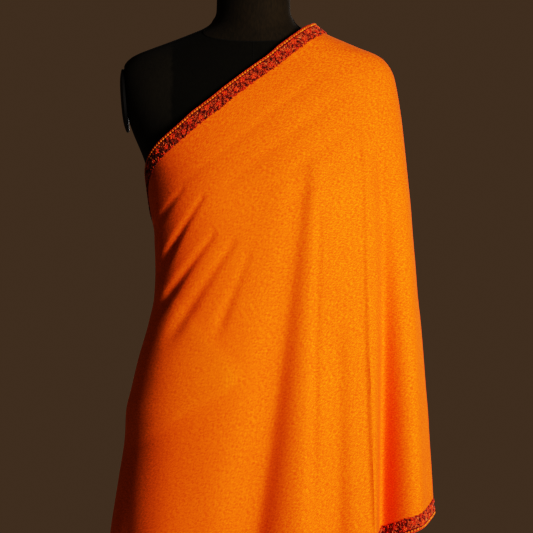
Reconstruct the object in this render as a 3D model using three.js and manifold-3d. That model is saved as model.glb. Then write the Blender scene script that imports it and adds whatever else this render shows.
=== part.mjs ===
// An embroidered stole draped over the left shoulder of a dress form on a stand.
// Millimetres, +Z up, the form faces -Y. The origin is on the floor, under the pole.
// The stole is one long rectangle of cloth. It comes up the back, over the left shoulder, slants down
// across the chest, goes round under the right arm and ends over the back. Each stretch that shows is
// a wall of its own, and the border embroidered on both long edges lies on it as raised strips.
import * as THREE from "three";
import { mergeVertices } from "three/addons/utils/BufferGeometryUtils.js";
import Module from "manifold-3d";

const wasm = await Module();
wasm.setup();

// Driving dimensions
const CLOTH_WALL = 2; // thickness of the cloth
const SEAM_GAP = 0.3; // clearance between pieces that meet
const BORDER_WALL = 1; // thickness of the embroidered border
const UNDER_SINK = 4; // how far the under layer lies inside the drape, under the stole's end
const SEAT_DROP = 1.4; // lowers the cloth on to the form's shoulder
const SIDEWAYS = 0.4; // how much of the section's slope the folds' heading follows
const BUST = { side: 72, z: 1145, spread: 38, rise: 36, hang: 1, out: 30 };
const DRAPED_BUST = { side: 72, z: 1145, spread: 58, rise: 40, hang: 2.4, out: 22 };
const NECK_SEAM = { z: 1407, slope: 0.58 }; // tilted plane of the neck seam
const NECK_CAP = { z: 1490, radius: 49, wall: 9, edge: 2.5 };
const ARMHOLE = { x: 183.5, z: 1290, lean: 0.08 }; // the flat cut at each side
const ARM_PLATE = { halfWidth: 34, halfHeight: 46, wall: 8, edge: 10, bulge: 4.5 };
const FORM_BOTTOM = 780;
const BASE = { radius: 200, wall: 8, edge: 2.5 };
const POLE = { radius: 14, flangeRadius: 48, flangeWall: 6 };
const COLLAR = { radius: 26, height: 46, edge: 3 };
const SIDES = { form: 36, armPlate: 28, neckCap: 32, base: 44, pole: 24 }; // facets round each round piece

// Sections of the dress form, from its base up: half width, depth to the front and to the back,
// and how blunt the section's sides are (1 is an ellipse, less is boxier).
const FORM_SECTIONS = [
  { z: 780, half: 167, front: 98, back: 114, blunt: 0.95 },
  { z: 840, half: 172, front: 104, back: 120, blunt: 0.95 },
  { z: 940, half: 150, front: 98, back: 104, blunt: 0.95 },
  { z: 1035, half: 121, front: 88, back: 82, blunt: 0.95 },
  { z: 1100, half: 133, front: 100, back: 90, blunt: 0.92 },
  { z: 1150, half: 144, front: 110, back: 97, blunt: 0.9 },
  { z: 1200, half: 157, front: 113, back: 101, blunt: 0.9 },
  { z: 1250, half: 177, front: 105, back: 101, blunt: 0.9 },
  { z: 1300, half: 192, front: 89, back: 95, blunt: 0.9 },
  { z: 1322, half: 193, front: 80, back: 88, blunt: 0.92 },
  { z: 1335, half: 190.5, front: 74, back: 84, blunt: 0.95 },
  { z: 1345, half: 184.5, front: 69, back: 79, blunt: 1 },
  { z: 1352, half: 177, front: 66, back: 75, blunt: 1 },
  { z: 1358, half: 166, front: 63, back: 72, blunt: 1 },
  { z: 1365, half: 148, front: 61, back: 68, blunt: 1 },
  { z: 1376, half: 118, front: 59, back: 63, blunt: 1 },
  { z: 1386, half: 92, front: 58, back: 60, blunt: 1 },
  { z: 1395, half: 71, front: 57, back: 57, blunt: 1 },
  { z: 1403, half: 60, front: 56, back: 55, blunt: 1 },
  { z: 1420, half: 53.5, front: 54, back: 54, blunt: 1 },
  { z: 1490, half: 52, front: 52, back: 52, blunt: 1 },
];
// Heights of the rings of points that the form is lofted through: closer together over the shoulders.
const FORM_RINGS = [
  780, 810, 840, 890, 940, 990, 1035, 1075, 1110, 1140, 1170, 1200, 1230, 1260, 1285, 1305, 1322, 1335,
  1345, 1352, 1358, 1365, 1371, 1376, 1381, 1386, 1391, 1396, 1404, 1420, 1490,
];

// Sections of the draped cloth: its outline to the form's right (left in the front view) and to the
// form's left, where it hangs clear of the form, its depths, and how pointed its hanging side is.
const CLOTH_SECTIONS = [
  { z: 200, right: 246, left: 274, front: 156, back: 160, point: 1.3 },
  { z: 330, right: 237, left: 271, front: 150, back: 154, point: 1.3 },
  { z: 500, right: 224, left: 268, front: 143, back: 149, point: 1.28 },
  { z: 664, right: 207.5, left: 263, front: 136, back: 143, point: 1.25 },
  { z: 745, right: 195, left: 259, front: 132, back: 139, point: 1.22 },
  { z: 806, right: 186, left: 255, front: 130, back: 137, point: 1.2 },
  { z: 840, right: 184.5, left: 253, front: 129, back: 135, point: 1.18 },
  { z: 875, right: 176.5, left: 250, front: 127, back: 130, point: 1.16 },
  { z: 915, right: 167, left: 247, front: 124, back: 122, point: 1.14 },
  { z: 969, right: 151.5, left: 242.5, front: 121, back: 111, point: 1.12 },
  { z: 1010, right: 143, left: 238, front: 119, back: 104, point: 1.1 },
  { z: 1050, right: 141.5, left: 235, front: 119, back: 103, point: 1.08 },
  { z: 1097, right: 143, left: 231, front: 118, back: 106, point: 1.05 },
  { z: 1137, right: 149.5, left: 228, front: 118, back: 111, point: 1.02 },
  { z: 1176, right: 154.5, left: 224, front: 119, back: 113, point: 1 },
  { z: 1220, right: 167, left: 219.5, front: 117, back: 112, point: 0.98 },
  { z: 1260, right: 186, left: 215, front: 108, back: 109, point: 0.95 },
  { z: 1300, right: 198, left: 209, front: 96, back: 103, point: 0.95 },
  { z: 1326, right: 198, left: 203.5, front: 85, back: 95, point: 0.95 },
  { z: 1340, right: 192, left: 197, front: 78.5, back: 89, point: 0.97 },
  { z: 1351, right: 182, left: 187.8, front: 74, back: 84, point: 1 },
  { z: 1359, right: 168, left: 175, front: 71.5, back: 80, point: 1 },
  { z: 1366, right: 150, left: 157, front: 69.5, back: 77, point: 1 },
  { z: 1376, right: 124, left: 133, front: 68, back: 73, point: 1 },
  { z: 1388, right: 98, left: 106, front: 66, back: 69, point: 1 },
  { z: 1402, right: 80, left: 88, front: 65, back: 66, point: 1 },
];

// How blunt the drape's section is in front of the form's right side.
const BLUNT_FRONT = [
  { z: 600, blunt: 0.9 },
  { z: 760, blunt: 0.85 },
  { z: 840, blunt: 0.78 },
  { z: 940, blunt: 0.68 },
  { z: 1040, blunt: 0.6 },
  { z: 1200, blunt: 0.6 },
  { z: 1330, blunt: 0.95 },
];

// The stole's upper edge. turn is the angle round the body in degrees: 0 at the front, 90 at the
// form's left side, 180 at the back, -90 at the form's right side. band is the border's height there.
const FRONT_TOP = [
  { turn: -252, z: 846, band: 28 },
  { turn: -210, z: 932, band: 28 },
  { turn: -180, z: 994, band: 28 },
  { turn: -150, z: 1050, band: 28 },
  { turn: -120, z: 1106, band: 27 },
  { turn: -90, z: 1164, band: 27 },
  { turn: -79, z: 1186, band: 27 },
  { turn: -67, z: 1206, band: 27 },
  { turn: -57, z: 1221, band: 27 },
  { turn: -46, z: 1236, band: 27 },
  { turn: -37, z: 1250, band: 27 },
  { turn: -27, z: 1271, band: 28 },
  { turn: -18.6, z: 1289, band: 28 },
  { turn: -12.6, z: 1305, band: 28 },
  { turn: -5, z: 1325, band: 28 },
  { turn: 3, z: 1345, band: 28 },
  { turn: 14, z: 1367, band: 27 },
  { turn: 28, z: 1381, band: 23 },
  { turn: 58, z: 1397, band: 18 },
  { turn: 90, z: 1402, band: 14 },
];
const BACK_TOP = [
  { turn: 90, z: 1402, band: 14 },
  { turn: 122, z: 1397, band: 18 },
  { turn: 153, z: 1382, band: 23 },
  { turn: 167, z: 1366, band: 27 },
  { turn: 180, z: 1338, band: 28 },
  { turn: 192, z: 1302, band: 28 },
  { turn: 207, z: 1254, band: 28 },
  { turn: 222, z: 1203, band: 28 },
  { turn: 240, z: 1140, band: 28 },
  { turn: 268, z: 1046, band: 28 },
];

// The stole's lower edge.
const FRONT_HEM = [
  { turn: -125, z: 289, band: 26 },
  { turn: -90, z: 328, band: 26 },
  { turn: -70, z: 353, band: 26 },
  { turn: -45, z: 396, band: 27 },
  { turn: -20, z: 450, band: 27 },
  { turn: -3, z: 498, band: 27 },
  { turn: 15, z: 552, band: 26 },
  { turn: 33, z: 612, band: 25 },
  { turn: 54, z: 662, band: 23 },
  { turn: 72, z: 680, band: 21 },
  { turn: 90, z: 691, band: 20 },
];
const BACK_HEM = [
  { turn: 90, z: 691, band: 20 },
  { turn: 108, z: 681, band: 21 },
  { turn: 130, z: 655, band: 24 },
  { turn: 150, z: 606, band: 26 },
  { turn: 165, z: 556, band: 27 },
  { turn: 180, z: 504, band: 27 },
];

// Folds as they lie in the front view and, for the back, seen from the front too. A fold runs from
// (x0, z0) to (x1, z1); out is its height at its far end, negative for a trough; head is the share of
// that height at its first end; wide0 and wide1 are its half widths.
const FRONT_FOLDS = [
  { x0: -98, z0: 1157, x1: -152, z1: 1088, out: -4, head: 0.25, wide0: 6, wide1: 8 }, // waist drags
  { x0: -79, z0: 1144, x1: -144, z1: 1035, out: -6, head: 0.25, wide0: 6, wide1: 9 },
  { x0: -66, z0: 1089, x1: -146, z1: 982, out: -6, head: 0.25, wide0: 6, wide1: 9 },
  { x0: -34, z0: 1079, x1: -118, z1: 952, out: -5, head: 0.2, wide0: 7, wide1: 11 },
  { x0: -9, z0: 1073, x1: -50, z1: 970, out: -3, head: 0.2, wide0: 7, wide1: 11 },
  { x0: 59, z0: 1140, x1: -30, z1: 480, out: -19, head: 0.2, wide0: 9, wide1: 25 }, // fall below the bust
  { x0: 84, z0: 1150, x1: 60, z1: 480, out: 9, head: 0.2, wide0: 13, wide1: 24 },
  { x0: 136, z0: 960, x1: 142, z1: 560, out: -8, head: 0.1, wide0: 12, wide1: 16 }, // under the shoulder
  { x0: 163, z0: 1200, x1: 174, z1: 590, out: 7, head: 0.2, wide0: 9, wide1: 11 },
  { x0: 187, z0: 1230, x1: 201, z1: 620, out: -31, head: 0.22, wide0: 12, wide1: 14 },
  { x0: 221, z0: 1160, x1: 236, z1: 640, out: 9, head: 0.1, wide0: 12, wide1: 15 },
  { x0: -120, z0: 880, x1: -150, z1: 330, out: 6, head: 0.1, wide0: 24, wide1: 34 }, // below the hip
  { x0: -178, z0: 830, x1: -196, z1: 330, out: -7, head: 0.1, wide0: 10, wide1: 16 },
  { x0: -80, z0: 700, x1: -92, z1: 330, out: -7, head: 0.1, wide0: 20, wide1: 28 },
];
const BACK_FOLDS = [
  { x0: 196, z0: 1180, x1: 204, z1: 620, out: -15, head: 0.08, wide0: 12, wide1: 16 },
  { x0: 148, z0: 1150, x1: 156, z1: 560, out: 8, head: 0.1, wide0: 15, wide1: 20 },
  { x0: 92, z0: 1060, x1: 96, z1: 500, out: -13, head: 0.08, wide0: 14, wide1: 20 },
  { x0: 40, z0: 1000, x1: 34, z1: 460, out: 8, head: 0.1, wide0: 16, wide1: 24 },
  { x0: -20, z0: 900, x1: -30, z1: 420, out: -10, head: 0.08, wide0: 16, wide1: 22 },
  { x0: -50, z0: 1075, x1: -150, z1: 985, out: -5, head: 0.15, wide0: 8, wide1: 11 },
  { x0: -80, z0: 880, x1: -92, z1: 300, out: 7, head: 0.1, wide0: 18, wide1: 28 },
  { x0: -140, z0: 820, x1: -158, z1: 300, out: -8, head: 0.1, wide0: 16, wide1: 24 },
];

const TAIL_FOLDS = [
  { x0: -128, z0: 1010, x1: -150, z1: 330, out: 5, head: 0.1, wide0: 16, wide1: 26 },
  { x0: -60, z0: 960, x1: -100, z1: 380, out: 6, head: 0.1, wide0: 18, wide1: 28 },
  { x0: 20, z0: 930, x1: -44, z1: 460, out: 5, head: 0.1, wide0: 18, wide1: 26 },
  { x0: 110, z0: 880, x1: 70, z1: 560, out: 5, head: 0.1, wide0: 18, wide1: 26 },
];

// How far the stole's end stands out over the folds of the back.
const TAIL_LIFT = [
  { turn: -252, out: 14 },
  { turn: -185, out: 14 },
  { turn: -150, out: 9 },
  { turn: -118, out: 7.5 },
  { turn: -90, out: 0 },
];

// Where the columns of each wall stand: their turns at the upper and the lower edge, and how many
// columns lie between one stop and the next. A slanting last or first column is an end of the stole.
const FRONT_STOPS = [
  { top: -90, hem: -90, columns: 5 },
  { top: -78, hem: -78, columns: 11 },
  { top: -30, hem: -30, columns: 14 },
  { top: 30, hem: 30, columns: 21 },
  { top: 90, hem: 90 },
];
const TAIL_STOPS = [
  { top: -250, hem: -112, columns: 17 },
  { top: -90, hem: -90 },
];
const BACK_STOPS = [
  { top: 90, hem: 90, columns: 9 },
  { top: 130, hem: 118, columns: 13 },
  { top: 222, hem: 158, columns: 4 },
  { top: 264, hem: 174 },
];
const FRONT_ROWS = 30;
const BACK_ROWS = 24;
const TAIL_ROWS = 18;

const COLOURS = { cloth: 0xf07800, embroidery: 0x7a1a12, form: 0x141414, stand: 0x1b1b1c };

const radians = THREE.MathUtils.degToRad;
const lerp = THREE.MathUtils.lerp;
const smooth = (t) => THREE.MathUtils.smoothstep(t, 0, 1);

// A column of a table as a smooth curve that never overshoots its rows (monotone cubic).
function curve(rows, by, column) {
  const x = rows.map((row) => row[by]);
  const y = rows.map((row) => row[column]);
  const step = x.slice(1).map((value, i) => (y[i + 1] - y[i]) / (value - x[i]));
  const slope = x.map((_, i) => {
    if (i === 0) return step[0];
    if (i === x.length - 1) return step[i - 1];
    const [before, after] = [step[i - 1], step[i]];
    return before * after <= 0 ? 0 : (2 * before * after) / (before + after);
  });
  return (value) => {
    const at = THREE.MathUtils.clamp(value, x[0], x[x.length - 1]);
    let i = 0;
    while (i < x.length - 2 && at > x[i + 1]) i += 1;
    const span = x[i + 1] - x[i];
    const t = (at - x[i]) / span;
    const [t2, t3] = [t * t, t * t * t];
    return (
      y[i] * (2 * t3 - 3 * t2 + 1) +
      y[i + 1] * (3 * t2 - 2 * t3) +
      span * (slope[i] * (t3 - 2 * t2 + t) + slope[i + 1] * (t3 - t2))
    );
  };
}

const curvesOf = (rows, by, columns) =>
  Object.fromEntries(columns.map((column) => [column, curve(rows, by, column)]));
const form = curvesOf(FORM_SECTIONS, "z", ["half", "front", "back", "blunt"]);
const cloth = curvesOf(CLOTH_SECTIONS, "z", ["right", "left", "front", "back", "point"]);
const bluntFront = curve(BLUNT_FRONT, "z", "blunt");
const frontTop = curvesOf(FRONT_TOP, "turn", ["z", "band"]);
const backTop = curvesOf(BACK_TOP, "turn", ["z", "band"]);
const frontHem = curvesOf(FRONT_HEM, "turn", ["z", "band"]);
const backHem = curvesOf(BACK_HEM, "turn", ["z", "band"]);

// How far a bust stands out at a point of the front view. Cloth below it hangs on from it.
function bustRise(bust, x, z) {
  const reach = z < bust.z ? bust.rise * bust.hang : bust.rise;
  const up = Math.exp(-(((z - bust.z) / reach) ** 2) / 2);
  const across = (centre) => Math.exp(-(((x - centre) / bust.spread) ** 2) / 2);
  return bust.out * up * (across(bust.side) + across(-bust.side));
}

// How far the folds stand out at a point of the front view.
function foldRise(folds, x, z) {
  let rise = 0;
  for (const fold of folds) {
    const [dx, dz] = [fold.x1 - fold.x0, fold.z1 - fold.z0];
    const length = Math.hypot(dx, dz);
    const along = ((x - fold.x0) * dx + (z - fold.z0) * dz) / (length * length);
    const away = ((x - fold.x0) * dz - (z - fold.z0) * dx) / length;
    const wide = lerp(fold.wide0, fold.wide1, THREE.MathUtils.clamp(along, 0, 1));
    const grown = lerp(fold.head, 1, smooth(along)) * smooth(along / 0.12 + 1);
    const fade = fold.z1 > 700 ? 1 - smooth((along - 0.8) / 0.4) : 1;
    rise += fold.out * grown * fade * Math.exp(-((away / wide) ** 2));
  }
  return rise;
}

// A point of the dress form: x is half * sin(turn), y is depth * cos(turn) ** blunt.
function formPoint(turn, z) {
  const [s, c] = [Math.sin(radians(turn)), Math.cos(radians(turn))];
  const depth = c > 0 ? form.front(z) : form.back(z);
  const x = form.half(z) * s;
  const y = -Math.sign(c) * depth * Math.abs(c) ** form.blunt(z);
  const bust = c > 0 ? bustRise(BUST, x, z) * smooth(c * 2) : 0;
  return new THREE.Vector3(x, y - bust, z);
}

// A point of the draped cloth's outer face. layer is how far it lies outside the drape.
function clothPoint(turn, z, folds, layer) {
  const level = z + SEAT_DROP;
  const [s, c] = [Math.sin(radians(turn)), Math.cos(radians(turn))];
  const half = s < 0 ? cloth.right(level) : cloth.left(level);
  const depth = c > 0 ? cloth.front(level) : cloth.back(level);
  const right = c > 0 ? bluntFront(level) : 0.95;
  const point = s < 0 ? right : cloth.point(level);
  const x = half * s;
  const y = -Math.sign(c) * depth * Math.abs(c) ** point;
  const facing = smooth(Math.abs(c) * 3);
  const rise = foldRise(folds, x, z) * facing;
  const bust = c > 0 ? bustRise(DRAPED_BUST, x, z) * smooth(c * 2) : 0;
  const heading = new THREE.Vector2((SIDEWAYS * x) / half ** 2, y / depth ** 2).normalize();
  const out = rise + bust + layer;
  return new THREE.Vector3(x + heading.x * out, y + heading.y * out, z);
}

// The outward normal of a surface at a turn and a height, from points close to it.
function normalOf(surface, turn, z) {
  const [turnStep, zStep] = [1.5, 3];
  const across = surface(turn + turnStep, z).sub(surface(turn - turnStep, z));
  const up = surface(turn, z + zStep).sub(surface(turn, z - zStep));
  return across.cross(up).normalize();
}

// Heights of the rows of one column: the border's two edges are rows, and rows lie closer near the top.
function rowHeights(top, hem, rows) {
  const [high, low] = [top.z - top.band, hem.z + hem.band];
  const heights = [top.z];
  for (let row = 0; row <= rows - 2; row += 1) {
    const t = row / (rows - 2);
    heights.push(lerp(high, low, lerp(t * t, t, 0.45)));
  }
  heights.push(hem.z);
  return heights;
}

// The columns between stops: each with its turns at the upper and the lower edge.
function columnsOf(stops) {
  const columns = [];
  stops.slice(0, -1).forEach((stop, i) => {
    const next = stops[i + 1];
    for (let c = 0; c < stop.columns; c += 1) {
      const t = c / stop.columns;
      columns.push({ top: lerp(stop.top, next.top, t), hem: lerp(stop.hem, next.hem, t) });
    }
  });
  return [...columns, stops[stops.length - 1]];
}

// A grid of points and normals on a stretch of cloth: one row for each height of each column.
function sheetOf({ stops, rows, top, hem, folds, layerAt, seams }) {
  const surface = (turn, z) => clothPoint(turn, z, folds, layerAt(turn));
  const columns = columnsOf(stops);
  return columns.map((column, i) => {
    const upper = { z: top.z(column.top), band: top.band(column.top) };
    const lower = { z: hem.z(column.hem), band: hem.band(column.hem) };
    const shift = i === 0 ? seams.first : i === columns.length - 1 ? seams.last : undefined;
    return rowHeights(upper, lower, rows).map((z) => {
      const turn = lerp(column.top, column.hem, (upper.z - z) / (upper.z - lower.z));
      const point = surface(turn, z);
      if (shift) point.add(shift);
      return { point, normal: normalOf(surface, turn, z) };
    });
  });
}

// The closed solid between two copies of a grid, moved out along its normals by outer and inner.
function wallOf(grid, outer, inner) {
  const [columns, rows] = [grid.length, grid[0].length];
  const positions = [];
  for (const out of [outer, inner])
    for (const column of grid)
      for (const { point, normal } of column) positions.push(...point.clone().addScaledVector(normal, out));
  const index = [];
  const at = (side, i, j) => side * columns * rows + i * rows + j;
  const quad = (a, b, c, d) => index.push(a, b, c, a, c, d);
  for (let i = 0; i < columns - 1; i += 1)
    for (let j = 0; j < rows - 1; j += 1) {
      quad(at(0, i, j), at(0, i, j + 1), at(0, i + 1, j + 1), at(0, i + 1, j));
      quad(at(1, i, j), at(1, i + 1, j), at(1, i + 1, j + 1), at(1, i, j + 1));
    }
  const rim = (a, b) => quad(at(0, ...a), at(0, ...b), at(1, ...b), at(1, ...a));
  for (let i = 0; i < columns - 1; i += 1) {
    rim([i, 0], [i + 1, 0]);
    rim([i + 1, rows - 1], [i, rows - 1]);
  }
  for (let j = 0; j < rows - 1; j += 1) {
    rim([0, j + 1], [0, j]);
    rim([columns - 1, j], [columns - 1, j + 1]);
  }
  const geometry = new THREE.BufferGeometry();
  geometry.setAttribute("position", new THREE.Float32BufferAttribute(positions, 3));
  geometry.setIndex(index);
  return geometry;
}

const root = new THREE.Group();
const finish = (color, roughness) => new THREE.MeshStandardMaterial({ color, roughness, metalness: 0 });
const materials = {
  cloth: finish(COLOURS.cloth, 0.85),
  embroidery: finish(COLOURS.embroidery, 0.6),
  form: finish(COLOURS.form, 0.8),
  stand: finish(COLOURS.stand, 0.4),
};
function add(name, geometry, material) {
  const mesh = new THREE.Mesh(geometry, material);
  mesh.name = name;
  root.add(mesh);
}

// The stole
const forward = new THREE.Vector3(0, -SEAM_GAP / 2, 0);
const backward = new THREE.Vector3(0, SEAM_GAP / 2, 0);
const lift = curve(TAIL_LIFT, "turn", "out");
const stretches = {
  front: {
    stops: FRONT_STOPS,
    rows: FRONT_ROWS,
    top: frontTop,
    hem: frontHem,
    folds: FRONT_FOLDS,
    layerAt: () => 0,
    seams: { first: forward, last: forward },
  },
  tail: {
    stops: TAIL_STOPS,
    rows: TAIL_ROWS,
    top: frontTop,
    hem: frontHem,
    folds: TAIL_FOLDS,
    layerAt: lift,
    seams: { last: backward },
  },
  back: {
    stops: BACK_STOPS,
    rows: BACK_ROWS,
    top: backTop,
    hem: backHem,
    folds: BACK_FOLDS,
    layerAt: (turn) => -UNDER_SINK * smooth((turn - 190) / 40),
    seams: { first: backward },
  },
};
for (const [name, stretch] of Object.entries(stretches)) {
  const grid = sheetOf(stretch);
  const cells = (row) => grid.map((column) => column.slice(row, row + 2));
  const strip = (row) => wallOf(cells(row), SEAM_GAP + BORDER_WALL, SEAM_GAP);
  add(`stole_${name}`, wallOf(grid, 0, -CLOTH_WALL), materials.cloth);
  add(`border_top_${name}`, strip(0), materials.embroidery);
  add(`border_hem_${name}`, strip(stretch.rows - 1), materials.embroidery);
}

// The dress form: one lofted body, cut along the neck seam and flat at the armholes
const manifoldOf = (geometry) => {
  geometry.deleteAttribute("normal");
  geometry.deleteAttribute("uv");
  const merged = mergeVertices(geometry, 1e-4);
  return new wasm.Manifold(
    new wasm.Mesh({
      numProp: 3,
      vertProperties: new Float32Array(merged.attributes.position.array),
      triVerts: new Uint32Array(merged.index.array),
    }),
  );
};
const geometryOf = (solid) => {
  const mesh = solid.getMesh();
  const geometry = new THREE.BufferGeometry();
  geometry.setAttribute("position", new THREE.BufferAttribute(mesh.vertProperties, 3));
  geometry.setIndex(new THREE.BufferAttribute(mesh.triVerts, 1));
  return geometry;
};

function formBody() {
  const sides = SIDES.form;
  const positions = [];
  for (const z of FORM_RINGS)
    for (let i = 0; i < sides; i += 1) positions.push(...formPoint((i * 360) / sides, z));
  const index = [];
  for (let j = 0; j < FORM_RINGS.length - 1; j += 1)
    for (let i = 0; i < sides; i += 1) {
      const [a, b] = [j * sides + i, j * sides + ((i + 1) % sides)];
      index.push(a, b, b + sides, a, b + sides, a + sides);
    }
  for (const [ring, up] of [[0, false], [FORM_RINGS.length - 1, true]]) {
    positions.push(0, 0, FORM_RINGS[ring]);
    const centre = positions.length / 3 - 1;
    for (let i = 0; i < sides; i += 1) {
      const [a, b] = [ring * sides + i, ring * sides + ((i + 1) % sides)];
      index.push(...(up ? [a, b, centre] : [b, a, centre]));
    }
  }
  const geometry = new THREE.BufferGeometry();
  geometry.setAttribute("position", new THREE.Float32BufferAttribute(positions, 3));
  geometry.setIndex(index);
  return manifoldOf(geometry);
}

// A large block whose lower face is the neck seam's plane, moved up by a distance.
function blockAbove(rise) {
  const size = 600;
  const tilt = Math.atan(NECK_SEAM.slope);
  const block = new THREE.BoxGeometry(size, size, size);
  block.translate(0, 0, size / 2 + rise);
  block.rotateX(tilt);
  block.translate(0, 0, NECK_SEAM.z);
  return manifoldOf(block);
}

// The block that trims one side flat at the armhole: its inner face leans with the shoulder.
function armholeBlock(side) {
  const size = 200;
  const block = new THREE.BoxGeometry(size, size * 2, size);
  block.translate(size / 2, 0, 0);
  block.rotateY(ARMHOLE.lean);
  block.translate(ARMHOLE.x, 0, ARMHOLE.z);
  if (side < 0) block.rotateZ(Math.PI);
  return manifoldOf(block);
}

// A round disc with a domed face, stretched to the armhole's oval and leant on to the flat.
function armPlate(side) {
  const { halfWidth, halfHeight, wall, edge, bulge } = ARM_PLATE;
  const dome = [[1, wall - bulge], [1 - edge / halfWidth, wall - 1], [0, wall]];
  const plate = turned([[0, 0], [1, 0], ...dome], SIDES.armPlate);
  plate.scale(halfHeight, halfWidth, 1);
  plate.rotateY(Math.PI / 2);
  plate.translate(SEAM_GAP, 0, 0);
  plate.rotateY(ARMHOLE.lean);
  plate.translate(ARMHOLE.x, 0, ARMHOLE.z);
  if (side < 0) plate.rotateZ(Math.PI);
  return plate;
}

const body = formBody().subtract(armholeBlock(1)).subtract(armholeBlock(-1));
add("form_torso", geometryOf(body.subtract(blockAbove(0))), materials.form);
add("form_neck", geometryOf(body.intersect(blockAbove(SEAM_GAP))), materials.form);
add("form_arm_plate_left", armPlate(1), materials.form);
add("form_arm_plate_right", armPlate(-1), materials.form);

// A turned solid from a profile of [radius, height] pairs that starts and ends on the axis.
function turned(profile, sides) {
  const geometry = new THREE.LatheGeometry(profile.map(([r, h]) => new THREE.Vector2(r, h)), sides);
  return geometry.rotateX(Math.PI / 2);
}

// A disc or a rod from one height to another, with bevelled edges.
function disc({ radius, low, high, edge, sides }) {
  const rim = [[radius - edge, low], [radius, low + edge], [radius, high - edge], [radius - edge, high]];
  return turned([[0, low], ...rim, [0, high]], sides);
}

// A ring round the pole that stands on the base, bevelled at its top.
function standCollar() {
  const [inner, outer] = [POLE.radius + SEAM_GAP, COLLAR.radius];
  const [low, high] = [BASE.wall + SEAM_GAP, BASE.wall + SEAM_GAP + COLLAR.height];
  const shell = [[outer, low], [outer, high - COLLAR.edge], [outer - COLLAR.edge, high]];
  return turned([[inner, low], ...shell, [inner, high], [inner, low]], SIDES.pole);
}

const flangeLow = FORM_BOTTOM - SEAM_GAP - POLE.flangeWall;
const capLow = NECK_CAP.z + SEAM_GAP;
const round = {
  form_neck_cap: {
    radius: NECK_CAP.radius,
    low: capLow,
    high: capLow + NECK_CAP.wall,
    edge: NECK_CAP.edge,
    sides: SIDES.neckCap,
  },
  stand_base: { radius: BASE.radius, low: 0, high: BASE.wall, edge: BASE.edge, sides: SIDES.base },
  stand_pole: {
    radius: POLE.radius,
    low: BASE.wall + SEAM_GAP,
    high: flangeLow - SEAM_GAP,
    edge: 0.5,
    sides: SIDES.pole,
  },
  stand_flange: {
    radius: POLE.flangeRadius,
    low: flangeLow,
    high: FORM_BOTTOM - SEAM_GAP,
    edge: 1,
    sides: SIDES.pole,
  },
};
for (const [name, sizes] of Object.entries(round))
  add(name, disc(sizes), name.startsWith("form") ? materials.form : materials.stand);
add("stand_collar", standCollar(), materials.stand);

export default root;
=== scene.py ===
"""An embroidered stole draped over a dress form. Sizes are in millimetres until a mesh is made.
turn is the angle round the body in degrees: 0 at the front, 90 at the form's left side, -90 at its right
side and 180 at the back. The stole runs from turn 264, its inner end, over the left shoulder at 90 and
round the right side at -90 to turn -250, its outer end over the back."""

import math

import bpy
import numpy as np
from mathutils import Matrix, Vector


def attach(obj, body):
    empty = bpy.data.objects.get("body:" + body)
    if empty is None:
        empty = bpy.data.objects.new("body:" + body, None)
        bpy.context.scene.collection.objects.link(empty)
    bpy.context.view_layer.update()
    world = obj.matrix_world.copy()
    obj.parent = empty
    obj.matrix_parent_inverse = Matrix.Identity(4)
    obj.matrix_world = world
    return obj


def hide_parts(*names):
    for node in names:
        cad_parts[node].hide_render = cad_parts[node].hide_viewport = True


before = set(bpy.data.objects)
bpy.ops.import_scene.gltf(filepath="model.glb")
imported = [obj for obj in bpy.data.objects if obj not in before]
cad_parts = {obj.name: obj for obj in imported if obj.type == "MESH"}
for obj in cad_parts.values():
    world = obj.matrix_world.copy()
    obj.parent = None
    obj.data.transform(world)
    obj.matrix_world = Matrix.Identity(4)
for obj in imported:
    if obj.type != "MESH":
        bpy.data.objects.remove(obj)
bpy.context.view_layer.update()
MM = 0.001
random = np.random.default_rng(7)


# Curves and tables


def table(columns, *rows):
    """A table as a dict with one array for each named column."""
    values = np.array(rows, float)
    return {name: values[:, i] for i, name in enumerate(columns.split())}


def curve(x, y):
    """A smooth curve through points that never overshoots: a cubic on each span, whose slope at an inner
    point is the harmonic mean of the slopes on both sides, or 0 where they differ in sign."""
    step = np.diff(y) / np.diff(x)
    before, after = step[:-1], step[1:]
    same = before * after > 0
    inner = np.where(same, 2 * before * after / np.where(same, before + after, 1), 0)
    slope = np.concatenate([step[:1], inner, step[-1:]])

    def value(at):
        at = np.clip(at, x[0], x[-1])
        i = np.clip(np.searchsorted(x, at, side="right") - 1, 0, len(x) - 2)
        span = x[i + 1] - x[i]
        t = (at - x[i]) / span
        heights = y[i] * (2 * t**3 - 3 * t**2 + 1) + y[i + 1] * (3 * t**2 - 2 * t**3)
        return heights + span * (slope[i] * (t**3 - 2 * t**2 + t) + slope[i + 1] * (t**3 - t**2))

    return value


def curves(columns, *rows):
    """A table's columns as curves over its first column."""
    values = table(columns, *rows)
    by, *names = columns.split()
    return {name: curve(values[by], values[name]) for name in names}


def smooth(t):
    """0 below 0, 1 above 1 and 3t^2 - 2t^3 between."""
    t = np.clip(t, 0, 1)
    return t * t * (3 - 2 * t)


def unit(vectors):
    """Each vector with length 1."""
    return vectors / np.linalg.norm(vectors, axis=-1, keepdims=True)


# The dress form and the drape

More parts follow.
